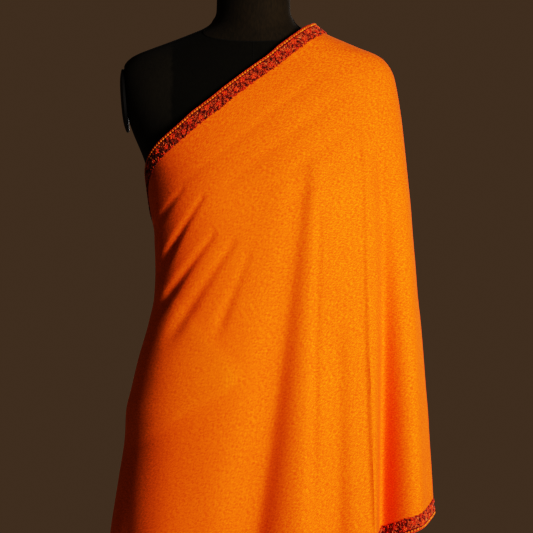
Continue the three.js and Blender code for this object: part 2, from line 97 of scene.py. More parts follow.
# Level sections of the form: half its width, its depth in front and behind, and its outline's exponent
FORM = curves(
    "z half front back blunt",
    (780, 167, 98, 114, 0.95),
    (840, 172, 104, 120, 0.95),
    (940, 150, 98, 104, 0.95),
    (1035, 121, 88, 82, 0.95),
    (1100, 133, 100, 90, 0.92),
    (1150, 144, 110, 97, 0.9),
    (1200, 157, 113, 101, 0.9),
    (1250, 177, 105, 101, 0.9),
    (1300, 192, 89, 95, 0.9),
    (1322, 193, 80, 88, 0.92),
    (1335, 190.5, 74, 84, 0.95),
    (1345, 184.5, 69, 79, 1),
    (1352, 177, 66, 75, 1),
    (1358, 166, 63, 72, 1),
    (1365, 148, 61, 68, 1),
    (1376, 118, 59, 63, 1),
    (1386, 92, 58, 60, 1),
    (1395, 71, 57, 57, 1),
    (1403, 60, 56, 55, 1),
    (1420, 53.5, 54, 54, 1),
    (1490, 52, 52, 52, 1),
)
# Level sections of the drape: its half width on the form's right and left, its depth in front and
# behind, and its outline's exponent on the left
DRAPE = curves(
    "z right left front back point",
    (200, 246, 274, 156, 160, 1.3),
    (330, 237, 271, 150, 154, 1.3),
    (500, 224, 268, 143, 149, 1.28),
    (664, 207.5, 263, 136, 143, 1.25),
    (745, 195, 259, 132, 139, 1.22),
    (806, 186, 255, 130, 137, 1.2),
    (840, 184.5, 253, 129, 135, 1.18),
    (875, 176.5, 250, 127, 130, 1.16),
    (915, 167, 247, 124, 122, 1.14),
    (969, 151.5, 242.5, 121, 111, 1.12),
    (1010, 143, 238, 119, 104, 1.1),
    (1050, 141.5, 235, 119, 103, 1.08),
    (1097, 143, 231, 118, 106, 1.05),
    (1137, 149.5, 228, 118, 111, 1.02),
    (1176, 154.5, 224, 119, 113, 1),
    (1220, 167, 219.5, 117, 112, 0.98),
    (1260, 186, 215, 108, 109, 0.95),
    (1300, 198, 209, 96, 103, 0.95),
    (1326, 198, 203.5, 85, 95, 0.95),
    (1340, 192, 197, 78.5, 89, 0.97),
    (1351, 182, 187.8, 74, 84, 1),
    (1359, 168, 175, 71.5, 80, 1),
    (1366, 150, 157, 69.5, 77, 1),
    (1376, 124, 133, 68, 73, 1),
    (1388, 98, 106, 66, 69, 1),
    (1402, 80, 88, 65, 66, 1),
)
# The drape's exponent on the form's right, in front and behind
RIGHT_FRONT = curves(
    "z blunt",
    (600, 0.9), (760, 0.85), (840, 0.78), (940, 0.68), (1040, 0.6), (1200, 0.6), (1330, 0.95),
)["blunt"]
RIGHT_BACK = 0.95
# The stole's two long edges
TOP = curves(
    "turn z",
    (-252, 846), (-210, 932), (-180, 994), (-150, 1050), (-120, 1106), (-90, 1164),
    (-79, 1186), (-67, 1206), (-57, 1221), (-46, 1236), (-37, 1250), (-27, 1271),
    (-18.6, 1289), (-12.6, 1305), (-5, 1325), (3, 1345), (14, 1367), (28, 1381),
    (58, 1397), (90, 1402), (122, 1397), (153, 1382), (167, 1366), (180, 1338),
    (192, 1302), (207, 1254), (222, 1203), (240, 1140), (268, 1046),
)["z"]
HEM = curves(
    "turn z",
    (-125, 289), (-90, 328), (-70, 353), (-45, 396), (-20, 450), (-3, 498),
    (15, 552), (33, 612), (54, 662), (72, 680), (90, 691), (108, 681),
    (130, 655), (150, 606), (165, 556), (180, 504),
)["z"]
# A column of the cloth stands at one turn at the upper edge and at another at the lower edge
COLUMN = table("top hem", (-250, -112), (-90, -90), (90, 90), (130, 118), (222, 158), (264, 174))
# How far the outer end stands out over the folds of the back
LIFT = curves("turn out", (-252, 14), (-185, 14), (-150, 9), (-118, 7.5), (-90, 0))["out"]
UNDER_SINK = 4  # how far the back lies inside the drape, under the outer end
SINK_TURN = {"first": 190, "over": 40}  # the turns over which it sinks
SEAT_DROP = 1.4  # lowers the cloth on to the shoulder
SIDEWAYS = 0.4  # how much of the section's slope the folds' heading follows
FOLD_REACH = 3  # folds fade out at the sides, where |cos(turn)| is under 1 / 3
BUST_REACH = 2  # the bust fades out where cos(turn) is under 1 / 2
BUST = {"side": 72, "z": 1145, "spread": 38, "rise": 36, "out": 30}
DRAPED_BUST = {"side": 72, "z": 1145, "spread": 58, "rise": 40, "out": 22}
DRAPED_HANG = 2.4  # how much further the draped bust reaches downwards
NECK_SEAM = {"z": 1407, "slope": 0.58}
ARMHOLE = {"x": 183.5, "z": 1290, "lean": 0.08, "corner": 0.9}
FORM_BOTTOM = 780
NECK_TOP = 1490

# Folds as they lie in the front view, from (x0, z0) to (x1, z1). out is a fold's height at its far end,
# negative for a trough, head the share of it at its first end, and wide0 and wide1 are its half widths.
# left is how many times wider it is on its left side, and bow how far its middle bends to the right.
FOLD_COLUMNS = "x0 z0 x1 z1 out head wide0 wide1 left bow"
FRONT_FOLDS = table(
    FOLD_COLUMNS,
    # faint pulls across the chest
    (-90, 1176, 95, 1323, -1.4, 0.5, 5, 7, 1, 0),
    (-30, 1169, 120, 1288, -1.7, 0.5, 6, 9, 1, 2),
    (24, 1160, 140, 1250, -1.4, 0.5, 5, 7, 1, 0),
    (50, 1140, 170, 1222, -1.2, 0.4, 7, 9, 1, 2),
    # drags at the waist
    (-98, 1157, -152, 1088, -5, 0.25, 3.5, 6, 1, 0),
    (-71, 1144, -139, 1032, -7.5, 0.3, 3.5, 6.5, 1, 0),
    (-58, 1089, -138, 983, -6, 0.5, 4, 7, 1, 0),
    (-30, 1079, -116, 952, -4.2, 0.7, 5, 10, 1, 0),
    (-7, 1063, -50, 960, -3.8, 0.4, 5, 9, 1, 0),
    # the fall below the bust
    (67, 1145, -32, 480, -26, 0.22, 11, 30, 2, 5),
    (84, 1150, 60, 480, 12, 0.2, 13, 24, 1.4, 0),
    (92, 1110, 84, 720, -5, 0.5, 4.5, 7, 1, 0),
    # under the shoulder
    (122, 930, 119, 560, -13, 0.35, 11, 17, 1.8, 0),
    (158, 1200, 179, 590, 8, 0.3, 10, 14, 0.3, -2),
    (184, 1190, 192, 620, -46, 0.2, 12, 17, 0.8, 5),
    (219, 1190, 234, 640, 14, 0.15, 11, 14, 1.2, 0),
    # below the hip
    (-120, 880, -150, 330, 6, 0.1, 24, 34, 1, 0),
    (-178, 830, -196, 330, -7, 0.1, 10, 16, 1, 0),
    (-80, 700, -92, 330, -7, 0.1, 20, 28, 1, 0),
)
BACK_FOLDS = table(
    FOLD_COLUMNS,
    (196, 1180, 204, 620, -15, 0.08, 12, 16, 1, 0),
    (148, 1150, 156, 560, 8, 0.1, 15, 20, 1, 0),
    (92, 1060, 96, 500, -13, 0.08, 14, 20, 1, 0),
    (40, 1000, 34, 460, 8, 0.1, 16, 24, 1, 0),
    (-20, 900, -30, 420, -10, 0.08, 16, 22, 1, 0),
    (-50, 1075, -150, 985, -5, 0.15, 8, 11, 1, 0),
    (-80, 880, -92, 300, 7, 0.1, 18, 28, 1, 0),
    (-140, 820, -158, 300, -8, 0.1, 16, 24, 1, 0),
)
TAIL_FOLDS = table(
    FOLD_COLUMNS,
    (-128, 1010, -150, 330, 5, 0.1, 16, 26, 1, 0),
    (-60, 960, -100, 380, 6, 0.1, 18, 28, 1, 0),
    (20, 930, -44, 460, 5, 0.1, 18, 26, 1, 0),
    (110, 880, 70, 560, 5, 0.1, 18, 26, 1, 0),
)
# The stole's inner end under the front: its long edge, its turned-in corner and its short end, each with
# the cloth on its right as it runs from (x0, z0) to (x1, z1), and the width over which its lift grows
EDGE_COLUMNS = "x0 z0 x1 z1 soft"
UNDER_EDGES = table(
    EDGE_COLUMNS,
    (-143, 1037, -18, 897, 16),
    (-18, 897, -37, 873, 5),
    (-37, 873, -179, 791, 9),
)
# Its corner, folded over once more
UNDER_CORNER = table(
    EDGE_COLUMNS,
    (-43, 905, -17, 888, 3),
    (-17, 888, -43, 873, 6),
    (-43, 873, -43, 905, 4),
)
UNDER_STEP = 1.1  # how far it lifts the front cloth
# Painted light: where the cloth lies in two layers it is coloured lighter, for the light that a single layer
# lets through to the dark form
UNDER_PAINTED_LIGHT, CORNER_PAINTED_LIGHT = 0.6, 0.4  # how much each lightens the cloth
CLOTH_WALL = 0.9
# Shares of a fold's length: it grows over the first one before its first end, and where it stops above
# the hem, it fades out from the second one over the third
FOLD_GROWTH, FADE_START, FADE_SPAN = 0.12, 0.8, 0.4
OPEN_END = 700  # a fold whose far end lies below this height runs on to the hem


def fold_rise(folds, x, z):
    """How far the folds stand out at points of the front view: the sum over the folds of height * growth
    along the fold * exp(-(distance / half width)^2)."""
    rise = np.zeros(np.broadcast(x, z).shape)
    for x0, z0, x1, z1, out, head, wide0, wide1, left, bow in zip(*folds.values()):
        dx, dz = x1 - x0, z1 - z0
        length = math.hypot(dx, dz)
        along = ((x - x0) * dx + (z - z0) * dz) / length**2
        share = np.clip(along, 0, 1)
        away = ((x - x0) * dz - (z - z0) * dx) / length + 4 * bow * share * (1 - share)
        wide = (wide0 + (wide1 - wide0) * share) * np.where(away > 0, left, 1)
        grown = (head + (1 - head) * smooth(along)) * smooth(along / FOLD_GROWTH + 1)
        fade = 1 - smooth((along - FADE_START) / FADE_SPAN) if z1 > OPEN_END else 1
        rise += out * grown * fade * np.exp(-((away / wide) ** 2))
    return rise


def bust_rise(bust, x, z, hang):
    """How far the bust stands out at points of the front view: two Gaussian mounds. hang stretches them
    downwards, as cloth hangs on from them."""
    below = np.where(z < bust["z"], bust["rise"] * hang, bust["rise"])
    up = np.exp(-(((z - bust["z"]) / below) ** 2) / 2)
    sides = [np.exp(-(((x - side * bust["side"]) / bust["spread"]) ** 2) / 2) for side in (1, -1)]
    return bust["out"] * up * sum(sides)


def under_layer(edges, x, z):
    """1 where the inner end lies under the front cloth and 0 elsewhere: the product of a soft step for each
    of its edges, over the distance from the edge."""
    inside = 1
    for x0, z0, x1, z1, soft in zip(*edges.values()):
        dx, dz = x1 - x0, z1 - z0
        away = ((x - x0) * dz - (z - z0) * dx) / math.hypot(dx, dz)
        inside = inside * smooth(away / soft + 0.5)
    return inside


def form_point(turn, z):
    """Points of the dress form: x is half * sin(turn) and y is depth * |cos(turn)|^blunt, with the bust in
    front. Beyond the armhole's leaning plane x is brought back to it, with a rounded corner."""
    s, c = np.sin(np.radians(turn)), np.cos(np.radians(turn))
    depth = np.where(c > 0, FORM["front"](z), FORM["back"](z))
    x = FORM["half"](z) * s
    bust = bust_rise(BUST, x, z, 1) * smooth(BUST_REACH * c)
    y = -np.sign(c) * depth * np.abs(c) ** FORM["blunt"](z) - bust
    limit = ARMHOLE["x"] + (z - ARMHOLE["z"]) * math.tan(ARMHOLE["lean"])
    corner = ARMHOLE["corner"]
    x = np.sign(x) * (limit - corner * np.logaddexp(0, (limit - np.abs(x)) / corner)) + 0 * y
    return np.stack([x, y, z + 0 * y], -1)


def cloth_point(turn, z):
    """Points of the cloth's outer face: x is half * sin(turn) and y is depth * |cos(turn)|^point, moved out
    by the folds, the bust and the layer that the cloth lies in, along a heading between the section's own
    normal and straight forwards or backwards."""
    level = z + SEAT_DROP
    s, c = np.sin(np.radians(turn)), np.cos(np.radians(turn))
    half = np.where(s < 0, DRAPE["right"](level), DRAPE["left"](level))
    depth = np.where(c > 0, DRAPE["front"](level), DRAPE["back"](level))
    right = np.where(c > 0, RIGHT_FRONT(level), RIGHT_BACK)
    point = np.where(s < 0, right, DRAPE["point"](level))
    x = half * s
    y = -np.sign(c) * depth * np.abs(c) ** point
    stretch = [turn > 90, turn < -90]
    folds = [fold_rise(BACK_FOLDS, x, z), fold_rise(TAIL_FOLDS, x, z)]
    front = fold_rise(FRONT_FOLDS, x, z) + UNDER_STEP * under_layer(UNDER_EDGES, x, z)
    out = np.select(stretch, folds, front) * smooth(FOLD_REACH * np.abs(c))
    out += bust_rise(DRAPED_BUST, x, z, DRAPED_HANG) * smooth(BUST_REACH * c)
    sink = -UNDER_SINK * smooth((turn - SINK_TURN["first"]) / SINK_TURN["over"])
    out += np.select(stretch, [sink, LIFT(turn)], 0)
    heading = unit(np.stack([SIDEWAYS * x / half**2, y / depth**2, 0 * x], -1))
    return np.stack([x, y, z + 0 * x], -1) + heading * out[..., None]


def slopes(surface, turn, z):
    """A surface's two tangents, per degree of turn and per mm of height, and its outward normal, from
    points a little to each side."""
    turn_step, z_step = 0.4, 0.8
    across = (surface(turn + turn_step, z) - surface(turn - turn_step, z)) / (2 * turn_step)
    up = (surface(turn, z + z_step) - surface(turn, z - z_step)) / (2 * z_step)
    return across, up, unit(np.cross(across, up))


# Meshes


def grid_faces(columns, rows, round_columns=False, round_rows=False):
    """Quads between the points of a grid, numbered row by row within each column."""
    i = np.arange(columns if round_columns else columns - 1)[:, None]
    j = np.arange(rows if round_rows else rows - 1)[None, :]
    a, b = i * rows + j, (i + 1) % columns * rows + j
    c, d = (i + 1) % columns * rows + (j + 1) % rows, i * rows + (j + 1) % rows
    return np.stack([a, b, c, d], -1).reshape(-1, 4)


def wall(points, normals, outer, inner):
    """A closed sheet: a grid moved along its normals by outer and by inner, with quads round its rim.
    Its faces are turned over where the grid runs the other way round."""
    columns, rows = points.shape[:2]
    count = columns * rows
    index = np.arange(count).reshape(columns, rows)
    rim = np.concatenate([index[:, 0], index[-1, 1:], index[-2::-1, -1], index[0, -2:0:-1]])
    after = np.roll(rim, -1)
    face = grid_faces(columns, rows)
    rim_faces = np.stack([after, rim, rim + count, after + count], -1)
    faces = np.concatenate([face, face[:, ::-1] + count, rim_faces])
    across = points[1:, 1:] - points[:-1, 1:]
    up = points[1:, 1:] - points[1:, :-1]
    if np.sum(np.cross(across, up) * normals[1:, 1:]) < 0:
        faces = faces[:, ::-1]
    both = [points + outer * normals, points + inner * normals]
    return np.concatenate([side.reshape(-1, 3) for side in both]), faces.tolist()


def lofted(rings, closed_rows=False):
    """A closed solid through rings of points: rings[i, j] is point i of ring j, and flat faces close the
    first and the last ring, unless the rings close on each other."""
    sides, count = rings.shape[:2]
    faces = grid_faces(sides, count, round_columns=True, round_rows=closed_rows).tolist()
    if not closed_rows:
        first = np.arange(sides) * count
        faces += [first[::-1].tolist(), (first + count - 1).tolist()]
    return rings.reshape(-1, 3), faces


def turned(profile, sides=128, closed=False):
    """A turned solid: a profile of (radius, height) carried round the Z axis."""
    angle = np.linspace(0, 2 * np.pi, sides, endpoint=False)[:, None]
    radius, height = np.array(profile, float).T
    rings = np.stack([radius * np.cos(angle), radius * np.sin(angle), height + 0 * angle], -1)
    return lofted(rings, closed)


def round_edge(radius, height, edge, side):
    """A quarter round where a rim of a radius meets a face at a height: upwards on to a top face with
    side 1, and from a bottom face with side -1."""
    t = np.linspace(0, np.pi / 2, 7)[::side]
    return np.stack([radius - edge + edge * np.cos(t), height - side * (edge - edge * np.sin(t))], -1)


def disc_profile(radius, low, high, edge):
    """The profile of a disc whose rims are quarter rounds."""
    return np.concatenate([round_edge(radius, low, edge, -1), round_edge(radius, high, edge, 1)])


def tube(path, normals, wide, tall, sides=8, closed=False):
    """A cord along a path: an oval section, wide across the surface and tall along its normals. Flat faces
    close its ends, or it joins up with itself."""
    along = np.roll(path, -1, 0) - np.roll(path, 1, 0) if closed else np.gradient(path, axis=0)
    side = unit(np.cross(along, normals))
    angle = np.linspace(0, 2 * np.pi, sides, endpoint=False)[:, None, None]
    rings = path + wide * np.cos(angle) * side - tall * np.sin(angle) * unit(np.cross(side, along))
    return lofted(rings, closed)


def joined(parts):
    """Several meshes as one: their points one after another and their faces renumbered."""
    points, faces, start = [], [], 0
    for part_points, part_faces in parts:
        points.append(part_points)
        faces += [[start + corner for corner in face] for face in part_faces]
        start += len(part_points)
    return np.concatenate(points), faces


def solid(name, shape, finishes):
    """An object in the scene with a mesh and its materials."""
    points, faces = shape
    mesh = bpy.data.meshes.new(name)
    mesh.from_pydata((points * MM).tolist(), [], faces)
    for finish in finishes:
        mesh.materials.append(finish)
    made = bpy.data.objects.new(name, mesh)
    bpy.context.scene.collection.objects.link(made)
    return made


def piece(name, shape, finishes, replaces=(), uv=None, marks=None, finish_of=None, sharp=50):
    """A piece of the object: its mesh, materials, UV map and named values on its points. It rides on the
    one body there is."""
    made = solid(name, shape, finishes)
    mesh = made.data
    if finish_of is not None:
        mesh.polygons.foreach_set("material_index", finish_of.astype(np.int32))
    if uv is not None:
        corner = np.empty(len(mesh.loops), np.int32)
        mesh.loops.foreach_get("vertex_index", corner)
        mesh.uv_layers.new(name="UVMap").data.foreach_set("uv", (uv[corner] * MM).ravel())
    for mark, values in (marks or {}).items():
        mesh.attributes.new(mark, "FLOAT", "POINT").data.foreach_set("value", values.ravel())
    mesh.shade_smooth()
    mesh.set_sharp_from_angle(angle=math.radians(sharp))
    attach(made, "root")
    if replaces:
        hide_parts(*replaces)
    return made


# Materials


def linear(colour):
    """An sRGB hex colour as linear red, green and blue."""
    value = np.array([int(colour[i : i + 2], 16) / 255 for i in (0, 2, 4)])
    return np.where(value > 0.04045, ((value + 0.055) / 1.055) ** 2.4, value / 12.92).tolist()


def node(tree, kind, inputs=(), stops=(), out=0, to=None, **settings):
    """Adds a node. settings are its properties, inputs its sockets' links or values, stops the places and
    colours of a ramp, and to a socket that its output is linked to."""
    made = tree.nodes.new("ShaderNode" + kind)
    for name, value in settings.items():
        setattr(made, name, value)
    for socket, value in dict(inputs).items():
        if isinstance(value, bpy.types.NodeSocket):
            tree.links.new(value, made.inputs[socket])
        else:
            made.inputs[socket].default_value = value
    if stops:
        ramp = made.color_ramp.elements
        while len(ramp) < len(stops):
            ramp.new(1)
        for element, (place, colour) in zip(ramp, stops):
            element.position = place
            element.color = (*linear(colour), 1)
    if to is not None:
        tree.links.new(made.outputs[out], to)
    return made


def material(name, **sockets):
    """A material's node tree and shader, with constants on the shader's own sockets. An underscore in a
    socket's name stands for a space."""
    made = bpy.data.materials.new(name)
    made.use_nodes = True
    shader = made.node_tree.nodes["Principled BSDF"]
    for socket, value in sockets.items():
        shader.inputs[socket.replace("_", " ")].default_value = value
    return made, made.node_tree, shader


def saffron_wool():
    """Fine wool, hand-woven from uneven yarn in saffron orange and brushed: matt, with long faint slubs
    along the cloth, fainter ones across it, a soft nap, cloudy dye and painted light where it lies in two
    layers."""
    made, tree, shader = material(
        "saffron_wool",
        Roughness=0.9,
        Specular_IOR_Level=0.15,
        Sheen_Weight=0.12,
        Sheen_Roughness=0.5,
        Sheen_Tint=(*linear("FFB060"), 1),
    )
    uv = node(tree, "UVMap", uv_map="UVMap").outputs[0]

    def threads(length, spacing, detail):
        """Uneven threads: noise stretched to a length along the cloth and a spacing across it, in mm."""
        scale = (1000 / length, 1000 / spacing, 1)
        place = node(tree, "Mapping", {"Vector": uv, "Scale": scale}).outputs[0]
        sockets = {"Vector": place, "Scale": 1, "Detail": detail, "Roughness": 0.6}
        return node(tree, "TexNoise", sockets, noise_dimensions="2D").outputs[0]

    # The yarns lie 0.5 mm apart, too fine to show, so they are drawn 0.8 mm apart
    patterns = [
        (threads(5, 0.8, 0), 1.9),  # threads along the cloth
        (threads(0.8, 3.2, 0), 1.4),  # threads across it
        (threads(45, 1.7, 1), 0.45),  # slubs
        (threads(0.7, 0.7, 0), 1.0),  # nap
        (threads(70, 45, 2), 0.2),  # clouds
    ]
    tone = 0.5 - 0.5 * sum(share for _, share in patterns)
    for pattern, share in patterns:
        tone = node(tree, "Math", {0: pattern, 1: share, 2: tone}, operation="MULTIPLY_ADD").outputs[0]
    stops = [(0.15, "D65300"), (0.5, "E86200"), (0.85, "F57100")]
    colour = node(tree, "ValToRGB", {"Fac": tone}, stops).outputs[0]
    # Painted light: the cloth is coloured lighter where it lies in two layers, for the light that a single
    # layer loses to the dark form behind it
    painted_layer_light = node(tree, "Attribute", attribute_name="painted_layer_light").outputs["Fac"]
    lighter = {0: painted_layer_light, 6: colour, 7: (1.08, 1.22, 1, 1)}
    base = shader.inputs["Base Color"]
    node(tree, "Mix", lighter, out=2, to=base, data_type="RGBA", blend_type="MULTIPLY")
    bump = {"Height": tone, "Distance": 0.0004, "Strength": 0.34}
    node(tree, "Bump", bump, to=shader.inputs["Normal"])
    return made


def satin_stitch(name, dark, mid, light):
    """Silk thread laid side by side: a soft sheen along the stitch and fine lines between the threads,
    each stitch a little lighter or darker than the next."""
    made, tree, shader = material(
        name, Roughness=0.55, Specular_IOR_Level=0.2, Sheen_Weight=0.08, Sheen_Roughness=0.4
    )
    uv = node(tree, "UVMap", uv_map="UVMap").outputs[0]
    # The threads are 0.25 mm apart, drawn 1.085 mm apart: a wave repeats every 0.314 units of 3.454 mm
    place = node(tree, "Mapping", {"Vector": uv, "Scale": (1000 / 3.454, 1, 1)}).outputs[0]
    lines = node(tree, "TexWave", {"Vector": place, "Scale": 1, "Distortion": 0.6}).outputs[1]
    tone = node(tree, "Attribute", attribute_name="tone").outputs["Fac"]
    varied = node(tree, "Math", {0: lines, 1: 0.3, 2: tone}, operation="MULTIPLY_ADD").outputs[0]
    stops = [(0.0, dark), (0.6, mid), (1.0, light)]
    node(tree, "ValToRGB", {"Fac": varied}, stops, to=shader.inputs["Base Color"])
    bump = {"Height": lines, "Distance": 0.0002, "Strength": 0.6}
    node(tree, "Bump", bump, to=shader.inputs["Normal"])
    return made


def darned_ground():
    """Wool cloth covered with close darning in maroon and rose silk: a mottled ground of short slanting
    strokes, duller than the raised stitches."""
    settings = {
        "Roughness": 0.8, "Specular_IOR_Level": 0.15, "Sheen_Weight": 0.06, "Sheen_Roughness": 0.5
    }
    made, tree, shader = material("darned_silk_ground", **settings)
    uv = node(tree, "UVMap", uv_map="UVMap").outputs[0]
    # The strokes are 4.5 mm long and 1.3 mm apart, and slant at 50 degrees
    slant = {"Vector": uv, "Rotation": (0, 0, math.radians(50)), "Scale": (1000 / 4.5, 1000 / 1.3, 1)}
    place = node(tree, "Mapping", slant).outputs[0]
    sockets = {"Vector": place, "Scale": 1, "Detail": 2}
    darning = node(tree, "TexNoise", sockets, noise_dimensions="2D").outputs[0]
    stops = [(0.36, "3A0905"), (0.5, "7A200C"), (0.6, "A63E1A"), (0.7, "C2622E")]
    node(tree, "ValToRGB", {"Fac": darning}, stops, to=shader.inputs["Base Color"])
    bump = {"Height": darning, "Distance": 0.0004, "Strength": 0.7}
    node(tree, "Bump", bump, to=shader.inputs["Normal"])
    return made


def black_jersey(name, panel, side):
    """Black cotton jersey stretched over a padded form: fine ribs up the body, almost no shine and a faint
    grey bloom of lint. panel and side are a dark and a light colour each, for the middle and for the side
    panels, which are cut the other way of the cloth; their lighter colours are a painted sheen."""
    made, tree, shader = material(
        name, Roughness=0.85, Specular_IOR_Level=0.1, Sheen_Weight=0.02, Sheen_Roughness=0.5
    )
    place = node(tree, "TexCoord").outputs["Object"]
    # The ribs are 0.7 mm wide, drawn 2.2 mm wide
    around = node(tree, "Mapping", {"Vector": place, "Scale": (1000 / 2.2, 1000 / 2.2, 1000 / 9)}).outputs[0]
    ribs = node(tree, "TexNoise", {"Vector": around, "Scale": 1, "Detail": 1}).outputs[0]
    lint = node(tree, "TexNoise", {"Vector": place, "Scale": 18, "Detail": 3}).outputs[0]
    both = node(tree, "Math", {0: ribs, 1: lint}, operation="ADD").outputs[0]
    half = node(tree, "Math", {0: both, 1: 0.5}, operation="MULTIPLY").outputs[0]
    middle, sides = (
        node(tree, "ValToRGB", {"Fac": half}, [(0.35, dark), (0.65, light)]).outputs[0]
        for dark, light in (panel, side)
    )
    # Painted sheen: the side panels are coloured lighter than the middle
    mark = node(tree, "Attribute", attribute_name="side_panel_sheen").outputs["Fac"]
    panels = {0: mark, 6: middle, 7: sides}
    node(tree, "Mix", panels, out=2, to=shader.inputs["Base Color"], data_type="RGBA")
    bump = {"Height": ribs, "Distance": 0.0002, "Strength": 0.18}
    node(tree, "Bump", bump, to=shader.inputs["Normal"])
    return made


def moulded_or_coated(name, dark, light, roughness, grain):
    """A hard matt black surface with an even, fine grain, in mm: moulded ABS or powder-coated steel, whose
    texture breaks up the highlight."""
    made, tree, shader = material(name, Roughness=roughness, Specular_IOR_Level=0.15)
    place = node(tree, "TexCoord").outputs["Object"]
    pattern = {"Vector": place, "Scale": 1000 / grain, "Detail": 2}
    pebbles = node(tree, "TexNoise", pattern).outputs[0]
    stops = [(0.3, dark), (0.7, light)]
    node(tree, "ValToRGB", {"Fac": pebbles}, stops, to=shader.inputs["Base Color"])
    bump = {"Height": pebbles, "Distance": 0.0002, "Strength": 0.15}
    node(tree, "Bump", bump, to=shader.inputs["Normal"])
    return made


wool = saffron_wool()
ground = darned_ground()
THREADS = [
    satin_stitch("silk_thread_red", "8A1604", "CC340C", "EE5A1E"),
    satin_stitch("silk_thread_rose", "7A2C10", "AE542A", "D4844C"),
    satin_stitch("silk_thread_maroon", "240504", "480D08", "741C0E"),
    satin_stitch("silk_thread_gold", "A04A02", "D86E06", "F08C14"),
]
RED, ROSE, MAROON, GOLD = range(len(THREADS))
NECK_SHADES = ("18130B", "251D11")
# The side panels' lighter colours are a painted sheen
jersey = black_jersey("black_cotton_jersey", ("090703", "0E0C05"), ("17140E", "211D15"))
neck_jersey = black_jersey("black_neck_jersey", NECK_SHADES, NECK_SHADES)
seam_thread = moulded_or_coated("black_polyester_thread", "0B0A08", "13110E", 0.8, 0.8)
plate_plastic = moulded_or_coated("black_abs_plate", "0C0B0A", "121110", 0.6, 1.5)
stand_coat = moulded_or_coated("black_powder_coated_steel", "121213", "1C1C1E", 0.8, 1.2)


# The stole

# Each stretch's first and last turn at the upper edge and its number of columns
CLOTH_COLUMNS = {"tail": (-250, -90, 54), "front": (-90, 90, 236), "back": (90, 264, 78)}
CLOTH_ROWS = 132
CLOTH_WIDTH = 700


def cloth_grid():
    """The stole's grid: columns from the outer end to the inner one, each from the hem up. Rows lie closer
    near the top, where the cloth bends over the shoulder."""
    spans = [
        np.linspace(first, last, count, endpoint=False)
        for first, last, count in CLOTH_COLUMNS.values()
    ]
    top_turn = np.append(np.concatenate(spans), COLUMN["top"][-1])[:, None]
    hem_turn = np.interp(top_turn, COLUMN["top"], COLUMN["hem"])
    high, low = TOP(top_turn), HEM(hem_turn)
    t = np.linspace(1, 0, CLOTH_ROWS)[None, :]
    down = 0.55 * t**2 + 0.45 * t
    return down, top_turn + (hem_turn - top_turn) * down, high + (low - high) * down


def cloth_uv(points, down):
    """Distances in the flat cloth. v is the share of the way across, times the cloth's width. u is the
    length along each row, and rows start so that a line of equal u crosses them squarely at the middle."""
    middle, reach = len(points) // 2, 6
    steps = np.linalg.norm(np.diff(points, axis=0), axis=-1)
    along = np.concatenate([np.zeros((1, CLOTH_ROWS)), np.cumsum(steps, axis=0)])
    row = unit(points[middle + reach] - points[middle - reach])
    rise = np.diff(points[middle], axis=0)
    slip = np.concatenate([[0], np.cumsum(np.sum(rise * (row[1:] + row[:-1]) / 2, -1))])
    u = along - along[middle] + slip - slip[-1]
    return np.stack([u, CLOTH_WIDTH * down + 0 * u], -1)


def make_cloth():
    """One continuous sheet, whose outer face is the drape."""
    down, turn, z = cloth_grid()
    points = cloth_point(turn, z)
    normals = slopes(cloth_point, turn, z)[2]
    uv = cloth_uv(points, down).reshape(-1, 2)
    x = points[..., 0]
    # Painted light on the front: how much lighter the cloth is coloured over the inner end and over its
    # folded corner
    layers = UNDER_PAINTED_LIGHT * under_layer(UNDER_EDGES, x, z) + CORNER_PAINTED_LIGHT * under_layer(UNDER_CORNER, x, z)
    painted_layer_light = layers * (np.abs(turn) < 90)
    sheet, both = wall(points, normals, 0, -CLOTH_WALL), np.concatenate([uv, uv])
    nodes, marks = ("stole_front", "stole_tail", "stole_back"), {"painted_layer_light": np.tile(painted_layer_light.ravel(), 2)}
    return piece("stole_cloth", sheet, [wool], nodes, uv=both, marks=marks)


cloth = make_cloth()


# The embroidered borders

# A band's grid: places along the edge, and steps into the cloth with their length
BAND_PLACES, BAND_STEPS, BAND_STEP = 1300, 25, 1.0
BORDER = {
    "width": 20.5,
    "scallop": 1.8,  # how far each scallop of the inner edge stands out
    "scallop_power": 0.7,  # under 1 for rounder scallops
    "scallop_pitch": 7.25,
    "repeat": 32,  # length of one repeat of the flowers
    "ground": 0.9,  # height of the darned ground over the cloth
    "ground_base": 0.1,
}
# The outer edge's rolled cord, and its row of picots: places along and inside the edge, an angle in
# degrees, a half length, a half width and a height
CORD = {"inside": 0.3, "sink": 0.2, "radius": 0.9, "end": 0.5, "step": 1.6, "sides": 8, "tone": 0.3}
PICOT = {"pitch": 4.6, "stitch": (2.6, 8, 1.95, 1.5, 1.3)}


def edge_band(edge, first, last, side):
    """The strip of cloth along a long edge: a grid of points and normals, along the edge and square to it
    into the cloth. Each step inwards solves across * turn step + up * height step = heading, where the
    heading is square to the edge in the surface."""
    turn = np.linspace(first, last, BAND_PLACES)
    z = edge(turn)
    start = cloth_point(turn, z)
    tangent = unit(np.gradient(start, axis=0))
    along = np.concatenate([[0], np.cumsum(np.linalg.norm(np.diff(start, axis=0), axis=-1))])
    points, normals = [], []
    for _ in range(BAND_STEPS + 1):
        across, up, normal = slopes(cloth_point, turn, z)
        points.append(cloth_point(turn, z))
        normals.append(normal)
        heading = side * unit(np.cross(normal, tangent))
        aa, au, uu = (np.sum(a * b, -1) for a, b in ((across, across), (across, up), (up, up)))
        ha, hu = np.sum(heading * across, -1), np.sum(heading * up, -1)
        turn = turn + BAND_STEP * (ha * uu - hu * au) / (aa * uu - au**2)
        z = z + BAND_STEP * (hu * aa - ha * au) / (aa * uu - au**2)
    return {"along": along, "points": np.stack(points, 1), "normals": np.stack(normals, 1)}


